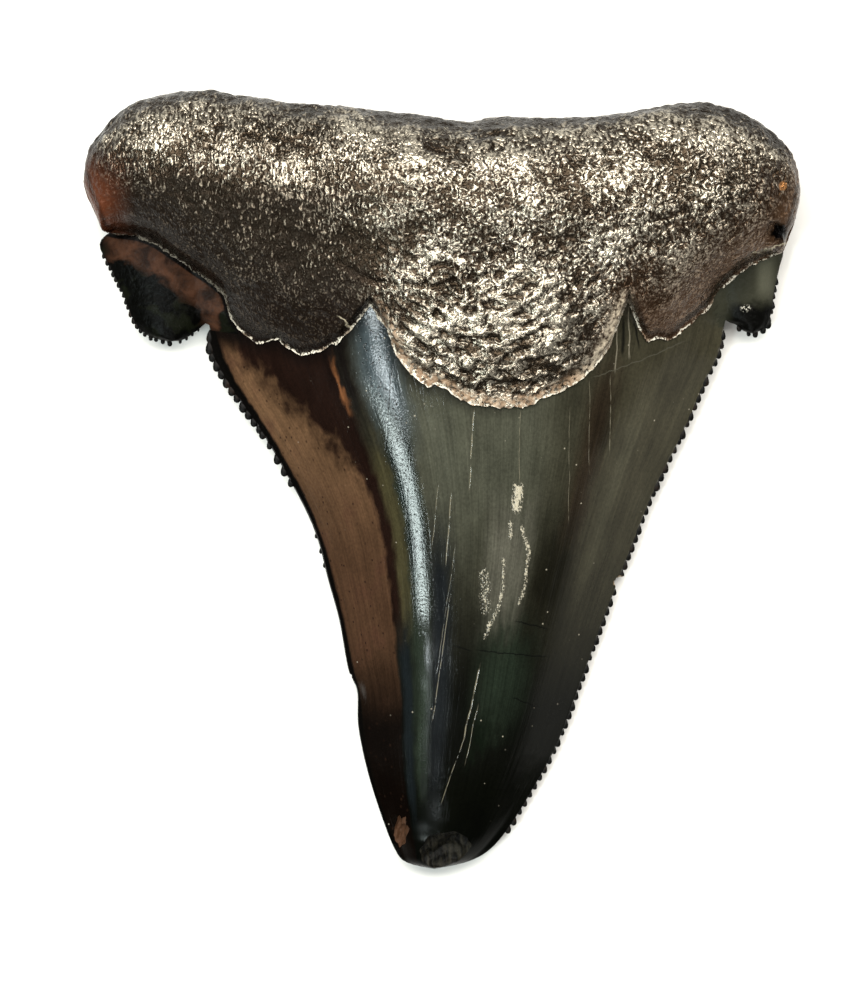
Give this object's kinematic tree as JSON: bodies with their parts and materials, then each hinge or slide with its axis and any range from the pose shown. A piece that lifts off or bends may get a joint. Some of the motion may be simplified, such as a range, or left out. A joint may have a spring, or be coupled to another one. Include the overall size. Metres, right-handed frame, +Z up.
{
  "type": "fossil shark tooth",
  "caption": "Fossil shark tooth with a serrated triangular blade, small side cusplets and a thick two-lobed root, lying on its flat outer face.",
  "frame": {"origin": "under the middle of the tooth's outline, on the surface that it lies on", "axes": "+Z up, out of the domed inner face; +Y from the tip of the blade to the root; +X across the blade, to the right of someone looking down on it with the root at the top"},
  "size_m": [0.0712, 0.0776, 0.0164],
  "materials": {
    "fossil": "polished dark olive-black enamel and a glossy, pebbled brown-black root"
  },
  "bodies": {
    "root": {"tooth": "fossil"}
  },
  "joints": []
}
